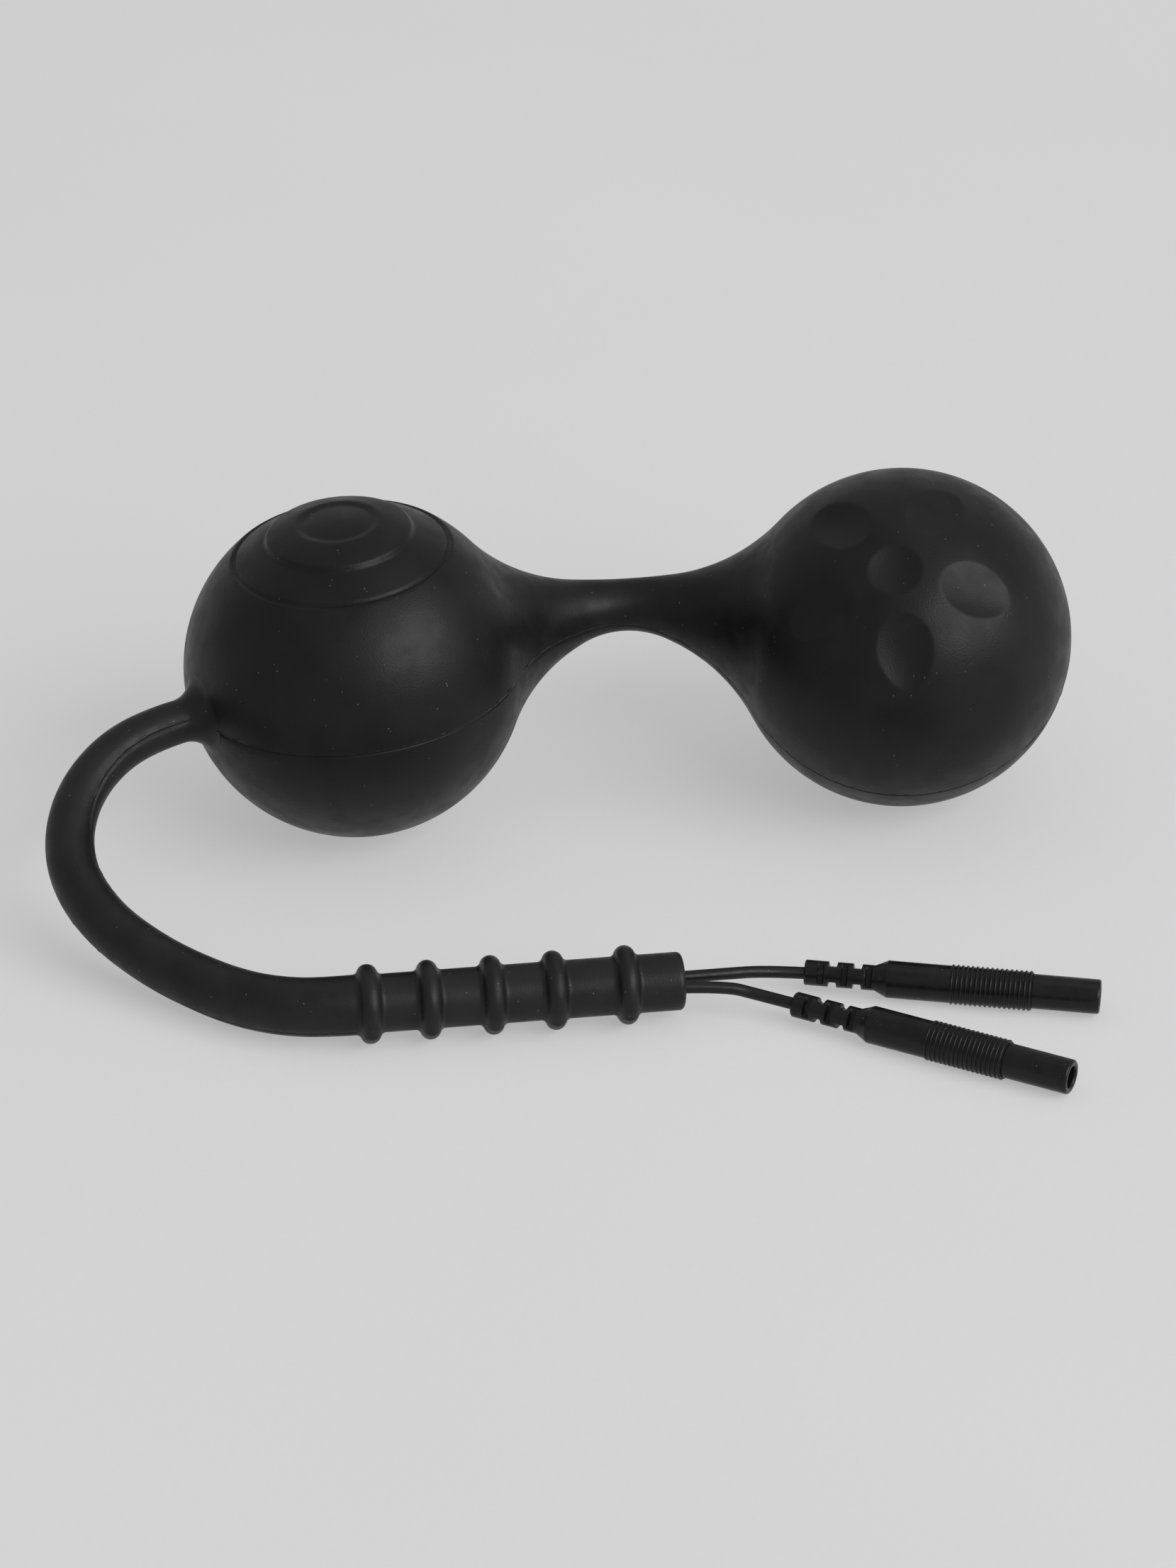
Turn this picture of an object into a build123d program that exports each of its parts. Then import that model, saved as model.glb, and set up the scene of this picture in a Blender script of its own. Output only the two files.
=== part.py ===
"""Pair of soft massage balls joined by a waisted neck, with a ribbed tail and two socket leads.

The row frame has its origin on the surface that the balls rest on, midway between them.
+X runs from the rear ball (the one with the tail) to the front ball, and +Z is up.
Each ball also has a frame of its own: origin at the ball's centre, x towards the neck,
z towards the pole that carries the relief. Its xy plane is the parting plane.
"""

import os
from math import acos, asin, atan2, cos, degrees, pi, radians, sin, sqrt, tan

from build123d import *

os.makedirs("parts", exist_ok=True)

# ---------------------------------------------------------------- driving dimensions, in mm
BALL_R = 19.0
BALL_SPACING = 61.5
SKIN_WALL = 2.5
FIT_GAP = 0.05  # between moulded pieces that are assembled into each other

NECK_WAIST_R = 2.95
NECK_CORNER = Vector(0, 7.3, 21.7)  # where the two halves of the neck would meet with no bend
NECK_BEND_TANGENT = 6.0  # length along each half that the bend takes up
NECK_BORE_R = 0.65  # round the neck wire and the front terminal
FRONT_ROLL = 38.8  # turn of the front ball about the neck, seen from the neck

TAIL_ROOT_TURN = 186.6  # from the neck to the tail's root, round the parting plane
TAIL_ROOT_DEPTH = 1.6  # how far the tail goes into the skin's hole
TAIL_ROOT_R, TAIL_END_R, TAIL_BORE_R = 2.35, 3.2, 1.6

GRIP_START = Vector(-34.6, -46.77, 4.2)
GRIP_YAW = 1.6
GRIP_LENGTH, GRIP_R, GRIP_END_WALL, GRIP_ROUND = 34.9, 3.1, 3.0, 0.6
RIB_R = 1.1  # radius of a rib's round section
RIB_PLACES = (1.6, 7.9, 14.6, 21.2, 28.85)

LEAD_R = 0.65
LEAD_OFFSET = 0.72  # each lead's centre from the tail's centre line
LEAD_IN_BOOT = 8.0  # length of lead held inside a connector
LEAD_STRAIGHT = 2.8  # straight stretch where a lead leaves the grip or enters a boot
WIRE_R = 0.45  # wires inside the rear ball and the neck
WIRE_GROOVE_R = 16.93  # circle that the bridge wire follows, between the rear capsule and its skin

CAPSULE_R, CAPSULE_WALL = BALL_R - SKIN_WALL - FIT_GAP, 1.45
WEIGHT_R, WEIGHT_GAP = 8.5, 0.15
REAR_RINGS = ((0, 13, 0.45), (25.3, 39.5, 0.4))  # recessed rings: from and to angle, and depth
DIMPLE_R, DIMPLE_DEPTH = 3.0, 0.7
PETALS, PETAL_POLAR, PETAL_TURN = 5, 28.5, 32.0
FLOWER_LEAN = 4.9  # from the front ball's pole to the round dimple, towards the neck
PETAL_LENGTH, PETAL_WIDTH = 8.6, 6.2

CONTACT_THICKNESS = 0.4
CONTACT_SPREAD = {"rear": 15.0, "front": 30.0}  # half angle of each contact cap
CONTACT_CLEARANCE = 0.3  # round a contact cap, as an angle
CONTACT_PIN_R, CONTACT_PIN_TOP = 0.5, 17.4  # terminal, and its end's distance from the centre

CONNECTOR_LENGTH = 31.5
BOOT_R, BOOT_CORE_R = 1.36, 0.98
BOOT_COLLARS = ((0, 1.6), (2.05, 4.0), (4.55, 6.75), (7.3, 7.5))
BARREL_START, BARREL_R = 8.8, 2.0
FINGER_RINGS, FINGER_START, FINGER_END = 17, 15.5, 24.3
FINGER_R = 2.15  # crest of the finger rings
TIP_R, TIP_TAIL_R, TIP_TAIL_START, TIP_ROUND = 1.85, 1.6, 14.0, 0.2
SOCKET_R, SOCKET_CUP_R, SOCKET_END = 1.3, 1.0, 30.6
CUP_BORE_END, CUP_END = 12.0, 14.0  # a connector's lead bore, and its socket's narrow part
PIN_BORE_R, PIN_BORE_DEPTH = 1.05, 11.0  # takes a 2 mm pin
MOUTH_R = 1.15

# ---------------------------------------------------------------- frames
REAR_CENTRE = Vector(-BALL_SPACING / 2, 0, BALL_R)
FRONT_CENTRE = Vector(BALL_SPACING / 2, 0, BALL_R)


def heading(azimuth):
    """Level unit vector at an azimuth from +X towards +Y, in degrees."""
    return Vector(cos(radians(azimuth)), sin(radians(azimuth)), 0)


def ball_frame(centre, roll):
    """A ball's own frame: x towards the neck, z the upward pole turned by roll about x."""
    to_neck = (NECK_CORNER - centre).normalized()
    level = Vector(0, 0, 1).cross(to_neck).normalized()
    pole = to_neck.cross(level).rotate(Axis((0, 0, 0), to_neck), roll)
    return Plane(origin=centre, x_dir=to_neck, z_dir=pole)


REAR_FRAME = ball_frame(REAR_CENTRE, 0)
FRONT_FRAME = ball_frame(FRONT_CENTRE, -FRONT_ROLL)
TAIL_ROOT = REAR_FRAME.x_dir.rotate(Axis((0, 0, 0), REAR_FRAME.z_dir), TAIL_ROOT_TURN)
GRIP_DIRECTION = heading(GRIP_YAW)
GRIP_END = GRIP_START + GRIP_DIRECTION * GRIP_LENGTH

# ---------------------------------------------------------------- neck profile
# One arc, tangent to the ball and level at the waist, shapes each half of the neck.
NECK_REACH = (NECK_CORNER - REAR_CENTRE).length
NECK_HALF_TURN = acos(BALL_SPACING / 2 / NECK_REACH)
NECK_BEND_R = NECK_BEND_TANGENT / tan(NECK_HALF_TURN)
BEND_START = NECK_REACH - NECK_BEND_TANGENT  # distance from a ball's centre
WAIST_PLACE = BEND_START + NECK_BEND_R * NECK_HALF_TURN
FLARE_R = (WAIST_PLACE**2 + NECK_WAIST_R**2 - BALL_R**2) / (2 * (BALL_R - NECK_WAIST_R))
FLARE_ANGLE = atan2(NECK_WAIST_R + FLARE_R, WAIST_PLACE)


def neck_radius(place):
    """Neck radius at a distance along its centre line from a ball's centre."""
    return NECK_WAIST_R + FLARE_R - sqrt(FLARE_R**2 - (WAIST_PLACE - place) ** 2)


# ---------------------------------------------------------------- routes
TAIL_ROUTE = [
    REAR_CENTRE + TAIL_ROOT * (BALL_R - TAIL_ROOT_DEPTH),
    Vector(-53.4, -8.0, 17.1),
    Vector(-59.2, -11.7, 15.5),
    Vector(-63.0, -17.2, 12.4),
    Vector(-63.5, -23.8, 9.0),
    Vector(-60.4, -30.2, 6.2),
    Vector(-55.0, -35.9, 4.3),
    Vector(-49.2, -40.6, 3.4),
    Vector(-44.9, -43.9, 3.5),
    Vector(-40.9, -46.0, 3.9),
    GRIP_START - GRIP_DIRECTION * LEAD_STRAIGHT,
    GRIP_START,
]
CONNECTORS = {  # where each boot starts, with z along the connector towards its mouth
    "upper": Plane(origin=(13.9, -42.3, FINGER_R), x_dir=(0, 0, 1), z_dir=heading(-15.4)),
    "lower": Plane(origin=(11.9, -48.5, FINGER_R), x_dir=(0, 0, 1), z_dir=heading(-33.0)),
}


def corner_radii(points, name):
    """One radius for each corner of a route: 0.45 of its shorter run over tan(half the turn)."""
    radii = []
    for before, at, after in zip(points, points[1:], points[2:]):
        first, second = at - before, after - at
        half_turn = radians(first.get_angle(second)) / 2
        radii.append(0.45 * min(first.length, second.length) / tan(half_turn))
    print(name, "corner radii:", [round(r, 1) for r in radii])
    return radii


def lead_route(side, connector):
    """A lead beside the tail's centre line, free past the grip's end, then in its connector."""
    route = []
    for behind, point, ahead in zip(TAIL_ROUTE[:1] + TAIL_ROUTE, TAIL_ROUTE[:-1], TAIL_ROUTE[1:]):
        across = Vector(0, 0, 1).cross(ahead - behind).normalized()
        route.append(point + across * LEAD_OFFSET * side)
    across = Vector(0, 0, 1).cross(GRIP_DIRECTION)
    route.append(GRIP_END + GRIP_DIRECTION * LEAD_STRAIGHT + across * LEAD_OFFSET * side)
    route.append(connector.origin - connector.z_dir * LEAD_STRAIGHT)
    route.append(connector.origin + connector.z_dir * LEAD_IN_BOOT)
    return route


def finish(builder, name):
    """Labels a finished piece and writes it as one STEP file."""
    builder.part.label = name
    export_step(builder.part, f"parts/{name}.step")


def start_plane(points):
    """Plane at a route's start, square to its first run."""
    return Plane(origin=points[0], z_dir=points[1] - points[0])


def end_plane(points):
    """Plane at a route's end, square to its last run."""
    return Plane(origin=points[-1], z_dir=points[-1] - points[-2])


def route_length(line):
    """Length of a finished route, arcs included."""
    return sum(edge.length for edge in line.edges())


# ---------------------------------------------------------------- tail
with BuildPart() as tail:
    with BuildLine() as tail_line:
        FilletPolyline(*TAIL_ROUTE, radius=corner_radii(TAIL_ROUTE, "tail"))
    with BuildSketch(start_plane(TAIL_ROUTE)):
        Circle(TAIL_ROOT_R)
    with BuildSketch(end_plane(TAIL_ROUTE)):
        Circle(TAIL_END_R)
    sweep(path=tail_line.line, multisection=True)
    with BuildSketch(start_plane(TAIL_ROUTE)):
        Circle(TAIL_BORE_R)
    sweep(path=tail_line.line, mode=Mode.SUBTRACT)
finish(tail, "tail")

mean_square = (TAIL_ROOT_R**2 + TAIL_ROOT_R * TAIL_END_R + TAIL_END_R**2) / 3
tail_section = pi * (mean_square - TAIL_BORE_R**2)
print("tail length", round(route_length(tail_line), 1), "volume", round(tail.part.volume, 1))
print("section times length", round(tail_section * route_length(tail_line), 1))

# ---------------------------------------------------------------- ribbed grip
GRIP_FRAME = Plane(origin=GRIP_START, x_dir=(0, 0, 1), z_dir=GRIP_DIRECTION)

with BuildPart(GRIP_FRAME) as ribbed_grip:
    Cylinder(GRIP_R, GRIP_LENGTH, align=(Align.CENTER, Align.CENTER, Align.MIN))
    end_edge = ribbed_grip.faces().sort_by(Axis(GRIP_START, GRIP_DIRECTION))[-1].edges()
    fillet(end_edge, GRIP_ROUND)
    with Locations([(0, 0, place) for place in RIB_PLACES]):
        Torus(GRIP_R, RIB_R)
    bore_depth = GRIP_LENGTH - GRIP_END_WALL
    Cylinder(TAIL_BORE_R, bore_depth, align=(Align.CENTER, Align.CENTER, Align.MIN), mode=Mode.SUBTRACT)
    with Locations((0, LEAD_OFFSET, 0), (0, -LEAD_OFFSET, 0)):
        Cylinder(
            LEAD_R + FIT_GAP,
            GRIP_LENGTH,
            align=(Align.CENTER, Align.CENTER, Align.MIN),
            mode=Mode.SUBTRACT,
        )
finish(ribbed_grip, "ribbed_grip")

# ---------------------------------------------------------------- leads
# The front ball's lead runs on the side of the tail that faces it and ends in the upper connector.
for name, side, connector in (("front_lead", 1, "upper"), ("rear_lead", -1, "lower")):
    route = lead_route(side, CONNECTORS[connector])
    with BuildPart() as lead:
        with BuildLine() as lead_line:
            FilletPolyline(*route, radius=corner_radii(route, name))
        with BuildSketch(start_plane(route)):
            Circle(LEAD_R)
        sweep(path=lead_line.line)
    finish(lead, name)
    print(name, "length", round(route_length(lead_line), 1), "volume", round(lead.part.volume, 1))
    print("section times length", round(pi * LEAD_R**2 * route_length(lead_line), 1))

# ---------------------------------------------------------------- connectors
# In a connector's section, x is the distance from its axis and y the place along it.
def boot_outline():
    """Half section of a connector's body: collared boot, cone and barrel."""
    outline = [(0, 0)]
    for start, end in BOOT_COLLARS:
        outline += [(BOOT_CORE_R, start), (BOOT_R, start), (BOOT_R, end), (BOOT_CORE_R, end)]
    outline[-1] = (BARREL_R, BARREL_START)
    outline += [(BARREL_R, FINGER_END), (0, FINGER_END)]
    return outline[:1] + outline[2:]


for name, frame in CONNECTORS.items():
    axis = Axis(frame.origin, frame.z_dir)
    section = Plane(origin=frame.origin, x_dir=frame.x_dir, z_dir=frame.x_dir.cross(frame.z_dir))
    ring_pitch = (FINGER_END - FINGER_START) / FINGER_RINGS

    with BuildPart() as body:
        with BuildSketch(section):
            with BuildLine():
                Polyline(*boot_outline(), close=True)
            make_face()
            for i in range(FINGER_RINGS):
                with Locations((BARREL_R, FINGER_START + ring_pitch * (i + 0.5))):
                    Circle(FINGER_R - BARREL_R)
        revolve(axis=axis)
        with BuildSketch(section):
            for radius, start, end in (
                (LEAD_R + FIT_GAP, 0, CUP_BORE_END),
                (SOCKET_CUP_R + FIT_GAP, LEAD_IN_BOOT, TIP_TAIL_START),
                (TIP_TAIL_R, TIP_TAIL_START, FINGER_END),
            ):
                with Locations((0, start)):
                    Rectangle(radius, end - start, align=Align.MIN)
        revolve(axis=axis, mode=Mode.SUBTRACT)
    finish(body, f"{name}_connector_body")

    with BuildPart() as tip:
        with BuildSketch(section):
            with Locations((SOCKET_R + FIT_GAP, TIP_TAIL_START)):
                Rectangle(TIP_TAIL_R - SOCKET_R - 2 * FIT_GAP, FINGER_END - TIP_TAIL_START, align=Align.MIN)
            with Locations((SOCKET_R + FIT_GAP, FINGER_END)):
                Rectangle(TIP_R - SOCKET_R - FIT_GAP, CONNECTOR_LENGTH - FINGER_END, align=Align.MIN)
            with Locations((MOUTH_R, SOCKET_END + FIT_GAP)):
                Rectangle(TIP_R - MOUTH_R, CONNECTOR_LENGTH - SOCKET_END - FIT_GAP, align=Align.MIN)
        revolve(axis=axis)
        rim = tip.edges().filter_by(GeomType.CIRCLE).group_by(axis)[-1]
        fillet(rim, TIP_ROUND)
    finish(tip, f"{name}_connector_tip")

    with BuildPart() as socket:
        with BuildSketch(section):
            with Locations((0, LEAD_IN_BOOT)):
                Rectangle(SOCKET_CUP_R, CUP_END - LEAD_IN_BOOT, align=Align.MIN)
            with Locations((0, CUP_END)):
                Rectangle(SOCKET_R, SOCKET_END - CUP_END, align=Align.MIN)
            with Locations((0, SOCKET_END - PIN_BORE_DEPTH)):
                Rectangle(PIN_BORE_R, PIN_BORE_DEPTH, align=Align.MIN, mode=Mode.SUBTRACT)
        revolve(axis=axis)
    finish(socket, f"{name}_pin_socket")

# ---------------------------------------------------------------- neck
def neck_station(turn):
    """Plane square to the neck's centre line in its bend, at an angle from the bend's middle."""
    along = Vector(1, 0, 0)
    outward = Vector(0, NECK_CORNER.Y, NECK_CORNER.Z - BALL_R).normalized()
    bend_centre = NECK_CORNER - outward * (NECK_BEND_R / cos(NECK_HALF_TURN))
    origin = bend_centre + (outward * cos(turn) + along * sin(turn)) * NECK_BEND_R
    return Plane(origin=origin, z_dir=along * cos(turn) - outward * sin(turn))


def neck_route(end_r):
    """The neck's centre line between two points at this distance from the balls' centres."""
    return [REAR_CENTRE + REAR_FRAME.x_dir * end_r, NECK_CORNER, FRONT_CENTRE + FRONT_FRAME.x_dir * end_r]


# The rear end's seat stands off the capsule by the bridge wire's thickness.
with BuildPart() as neck:
    for frame, seat_r in (
        (REAR_FRAME, WIRE_GROOVE_R + WIRE_R + FIT_GAP),
        (FRONT_FRAME, BALL_R - SKIN_WALL),
    ):
        with BuildSketch(Plane(origin=frame.origin, x_dir=frame.z_dir, z_dir=frame.y_dir)):
            with BuildLine():
                seat = CenterArc((0, 0), seat_r, 90 - degrees(FLARE_ANGLE), degrees(FLARE_ANGLE))
                rim = (BALL_R * sin(FLARE_ANGLE), BALL_R * cos(FLARE_ANGLE))
                middle = (rim[1] + BEND_START) / 2
                waist = (neck_radius(BEND_START), BEND_START)
                Line(seat @ 0, rim)
                ThreePointArc(rim, (neck_radius(middle), middle), waist)
                Polyline(waist, (0, BEND_START), seat @ 1)
            make_face()
        revolve(axis=Axis(frame.origin, frame.x_dir))
    for share in (-1, -0.5, 0, 0.5, 1):
        with BuildSketch(neck_station(share * NECK_HALF_TURN)):
            Circle(neck_radius(WAIST_PLACE - abs(share) * NECK_HALF_TURN * NECK_BEND_R))
    loft()
    bore_route = neck_route(CAPSULE_R - CAPSULE_WALL)
    with BuildLine() as bore_line:
        FilletPolyline(*bore_route, radius=NECK_BEND_R)
    with BuildSketch(start_plane(bore_route)):
        Circle(NECK_BORE_R)
    sweep(path=bore_line.line, mode=Mode.SUBTRACT)
finish(neck, "neck")

with BuildPart() as neck_wire:
    wire_route = neck_route(CONTACT_PIN_TOP)
    with BuildLine() as wire_line:
        FilletPolyline(*wire_route, radius=NECK_BEND_R)
    with BuildSketch(start_plane(wire_route)):
        Circle(WIRE_R)
    sweep(path=wire_line.line)
finish(neck_wire, "neck_wire")


# ---------------------------------------------------------------- balls
# The shells of a ball are drawn in the ball's own frame and then moved to its place.
def band(inner_r, outer_r, start_angle, end_angle):
    """A sketch of the band between two radii and two angles from the y axis."""
    with BuildSketch() as section:
        with BuildLine():
            outer = CenterArc((0, 0), outer_r, 90 - end_angle, end_angle - start_angle)
            inner = CenterArc((0, 0), inner_r, 90 - end_angle, end_angle - start_angle)
            Line(outer @ 0, inner @ 0)
            Line(outer @ 1, inner @ 1)
        make_face()
    return section.sketch


def cutter_radius(width):
    """Radius of a round cutter that leaves a dimple of this width and DIMPLE_DEPTH in a ball."""
    return width**2 / 8 / (DIMPLE_DEPTH - width**2 / (8 * BALL_R))


def facing(turn):
    """Plane whose y axis lies in the parting plane at an angle from the neck, and x is the pole."""
    out = heading(turn)
    return Plane(origin=(0, 0, 0), x_dir=(0, 0, 1), z_dir=Vector(0, 0, 1).cross(out))


def place_and_finish(builder, frame, name):
    """Moves a piece from its ball's own frame to the row frame, labels it and writes it."""
    placed = builder.part.moved(frame.location)
    placed.label = name
    export_step(placed, f"parts/{name}.step")


# A capsule is drawn with its contact cap on the x axis, so its frame has x towards the tail or the neck.
CAPSULE_FRAMES = {
    "rear": Plane(origin=REAR_CENTRE, x_dir=TAIL_ROOT, z_dir=REAR_FRAME.z_dir),
    "front": FRONT_FRAME,
}
PIN_OFFSET = {"rear": -LEAD_OFFSET, "front": 0.0}  # where each terminal meets its lead or wire
root_out = heading(TAIL_ROOT_TURN)

# The bridge wire goes from the tail's root to the neck, in a groove in the rear skin's inner wall.
with BuildPart() as bridge_wire:
    with BuildLine() as bridge_line:
        wire_start = TAIL_ROOT_TURN + degrees(asin(LEAD_OFFSET / WIRE_GROOVE_R))
        CenterArc((0, 0), WIRE_GROOVE_R, wire_start, 360 - wire_start)
    with BuildSketch(facing(wire_start)):
        with Locations((0, WIRE_GROOVE_R)):
            Circle(WIRE_R)
    sweep(path=bridge_line.line)
place_and_finish(bridge_wire, REAR_FRAME, "bridge_wire")

for ball, frame in (("rear", REAR_FRAME), ("front", FRONT_FRAME)):
    spread = CONTACT_SPREAD[ball]

    with BuildPart() as skin:
        Sphere(BALL_R)
        if ball == "rear":
            for start_angle, end_angle, depth in REAR_RINGS:
                with BuildSketch(Plane.XZ):
                    add(band(BALL_R - depth, 2 * BALL_R, start_angle, end_angle))
                revolve(axis=Axis.Z, mode=Mode.SUBTRACT)
            with Locations(Plane(origin=root_out * BALL_R, z_dir=root_out)):
                Cylinder(TAIL_ROOT_R, 3 * SKIN_WALL, mode=Mode.SUBTRACT)
        else:
            dimple_r = cutter_radius(2 * DIMPLE_R)
            lean = Rotation(0, FLOWER_LEAN, 0)
            with Locations(lean * Location((0, 0, BALL_R - DIMPLE_DEPTH + dimple_r))):
                Sphere(dimple_r, mode=Mode.SUBTRACT)
            across_r, along_r = cutter_radius(PETAL_WIDTH), cutter_radius(PETAL_LENGTH)
            for i in range(PETALS):
                tilt = Rotation(0, 0, PETAL_TURN + i * 360 / PETALS) * Rotation(0, PETAL_POLAR, 0)
                petal = Plane(lean * tilt * Location((0, 0, BALL_R - DIMPLE_DEPTH + along_r)))
                with Locations(Plane(origin=petal.origin, x_dir=petal.x_dir, z_dir=petal.y_dir)):
                    Torus(along_r - across_r, across_r, mode=Mode.SUBTRACT)
        Sphere(BALL_R - SKIN_WALL, mode=Mode.SUBTRACT)
        if ball == "rear":
            Torus(WIRE_GROOVE_R, WIRE_R + FIT_GAP, mode=Mode.SUBTRACT)
        with BuildSketch(facing(0)):
            with BuildLine():
                past_skin = (2 * BALL_R * sin(FLARE_ANGLE), 2 * BALL_R * cos(FLARE_ANGLE))
                Polyline((0, 0), past_skin, (0, 2 * BALL_R), close=True)
            make_face()
        revolve(axis=Axis.X, mode=Mode.SUBTRACT)
    place_and_finish(skin, frame, f"{ball}_ball_skin")

    for half, start_angle in (("upper", 0), ("lower", -90)):
        with BuildPart() as shell:
            with BuildSketch(facing(90)):
                add(band(CAPSULE_R - CAPSULE_WALL, CAPSULE_R, start_angle, start_angle + 90))
            revolve(axis=Axis.Z)
            with BuildSketch(facing(0)):
                recess_floor = CAPSULE_R - CONTACT_THICKNESS - FIT_GAP
                add(band(recess_floor, BALL_R, 0, spread + CONTACT_CLEARANCE))
            revolve(axis=Axis.X, mode=Mode.SUBTRACT)
        place_and_finish(shell, CAPSULE_FRAMES[ball], f"{ball}_capsule_{half}")

    with BuildPart() as contact:
        with BuildSketch(facing(0)):
            add(band(CAPSULE_R - CONTACT_THICKNESS, CAPSULE_R, 0, spread))
        revolve(axis=Axis.X)
        pin_length = CONTACT_PIN_TOP - CAPSULE_R + CONTACT_THICKNESS / 2
        with Locations(Plane(origin=(CONTACT_PIN_TOP, PIN_OFFSET[ball], 0), z_dir=(1, 0, 0))):
            Cylinder(CONTACT_PIN_R, pin_length, align=(Align.CENTER, Align.CENTER, Align.MAX))
    place_and_finish(contact, CAPSULE_FRAMES[ball], f"{ball}_contact_cap")

    with BuildPart() as weight:
        drop = CAPSULE_R - CAPSULE_WALL - WEIGHT_R - WEIGHT_GAP
        with Locations(frame.origin - Vector(0, 0, drop)):
            Sphere(WEIGHT_R)
    finish(weight, f"{ball}_weight")
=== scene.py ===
from math import acos, atan2, cos, degrees, pi, radians, sin, sqrt, tan

import bpy
import numpy as np
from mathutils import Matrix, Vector


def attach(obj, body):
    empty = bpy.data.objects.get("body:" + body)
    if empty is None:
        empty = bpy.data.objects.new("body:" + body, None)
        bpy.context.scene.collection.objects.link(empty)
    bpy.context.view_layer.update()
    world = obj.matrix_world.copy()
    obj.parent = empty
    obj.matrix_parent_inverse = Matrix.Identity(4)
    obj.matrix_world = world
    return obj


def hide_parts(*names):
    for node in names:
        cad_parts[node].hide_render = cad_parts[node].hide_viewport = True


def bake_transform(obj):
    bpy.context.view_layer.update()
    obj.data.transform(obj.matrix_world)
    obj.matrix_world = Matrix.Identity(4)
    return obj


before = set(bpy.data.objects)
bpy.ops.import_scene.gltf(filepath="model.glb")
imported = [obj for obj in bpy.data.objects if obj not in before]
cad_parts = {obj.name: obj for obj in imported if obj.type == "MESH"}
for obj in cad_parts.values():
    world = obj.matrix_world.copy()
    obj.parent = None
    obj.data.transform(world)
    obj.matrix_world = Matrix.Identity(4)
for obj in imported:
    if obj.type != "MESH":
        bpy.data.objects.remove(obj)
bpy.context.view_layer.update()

# The balls, the neck, the tail and the connectors are surfaces over rings of points. Sizes are in
# millimetres, as in the CAD, and MM turns them into metres when a mesh or a curve is made.
MM = 0.001
UP = np.array((0.0, 0.0, 1.0))
TINY = 1e-12  # lengths below this count as none

# ---------------------------------------------------------------- dimensions, the CAD's where it has them
BALL_R = 19.0
BALL_SPACING = 61.5
SKIN_WALL = 2.5
INNER_R = BALL_R - SKIN_WALL
NECK_WAIST_R = 2.95
NECK_CORNER = np.array((0, 7.3, 21.7))
NECK_BEND_TANGENT = 6.0
NECK_BORE_R = 0.65
WIRE_R = 0.45
WIRE_END = 17.4  # distance of the neck wire's ends from the balls' centres
FRONT_ROLL = 38.8
TAIL_ROOT_TURN = 186.6
TAIL_ROOT_DEPTH = 1.6
TAIL_ROOT_R, TAIL_END_R, TAIL_BORE_R = 2.35, 3.2, 1.6
GRIP_START = np.array((-34.6, -46.77, 4.2))
GRIP_YAW = 1.6
GRIP_LENGTH, GRIP_R, GRIP_END_WALL, GRIP_ROUND = 34.9, 3.1, 3.0, 0.6
RIB_R = 1.1
RIB_PLACES = (1.6, 7.9, 14.6, 21.2, 28.85)
LEAD_R, LEAD_OFFSET, LEAD_IN_BOOT, LEAD_STRAIGHT = 0.65, 0.72, 8.0, 2.8
BOOT_R, BOOT_CORE_R, BOOT_END = 1.36, 0.98, 7.5
BARREL_START, BARREL_R = 8.8, 2.0
FINGER_RINGS, FINGER_START, FINGER_END, FINGER_R = 17, 15.5, 24.3, 2.15
CONNECTOR_LENGTH = 31.5
TIP_R, TIP_TAIL_R, TIP_TAIL_START = 1.85, 1.6, 14.0
SOCKET_R, SOCKET_CUP_R, SOCKET_END, MOUTH_R, FIT_GAP = 1.3, 1.0, 30.6, 1.15, 0.05
FRONT_LEAD_LENGTH, REAR_LEAD_LENGTH = 0.1228, 0.1246  # in metres

# ---------------------------------------------------------------- camera, lights and floor
CAMERA_PLACE, CAMERA_AIM = (-61.816, -512.582, 300.0), (-4.242, 3.834, 0.0)
CAMERA_LENS, CAMERA_SENSOR = 120.74, 36.0
CAMERA_NEAR, CAMERA_FAR = 0.01, 20  # in metres
# Each light's direction from the object, distance and size in metres, and power in watts.
KEY_LIGHT = (0.60, -0.56, 0.57), 1.6, (1.45, 1.05), 21.0
TOP_LIGHT = (0.25, 0.10, 1.0), 1.9, (1.2, 1.2), 1.8
WORLD_STRENGTH = 0.46
FLOOR_REACH, FLOOR_GLOW = 3.0, 0.39  # half width in metres, and emission
WHITE = (1.0, 1.0, 1.0, 1.0)

# ---------------------------------------------------------------- how the materials vary
COLOUR_DRIFT, ROUGH_DRIFT = (0.32, 0.68), (0.35, 0.65)  # noise values over which they change
ROUGH_SCALE = 2.3  # scale of the roughness's noise, beside that of the colour's
SPECK_CORE = 0.6  # share of a speck's size that has its full colour
PATCH_SCALE, PATCH_EDGE = 0.55, (0.56, 0.62)  # the patches in which specks lie

# ---------------------------------------------------------------- surface detail
REAR_RELIEF = (  # angle from the pole and height, round the rear ball's dish and terrace
    (0.0, -0.30), (9.0, -0.34), (12.0, -0.37), (13.2, -0.20), (14.2, -0.04), (15.2, 0.0),
    (24.4, 0.0), (25.0, -0.05), (26.3, -0.43), (27.0, -0.45), (38.2, -0.26), (39.0, -0.42),
    (39.5, -0.38), (40.1, -0.04), (40.7, 0.0),
)
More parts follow.
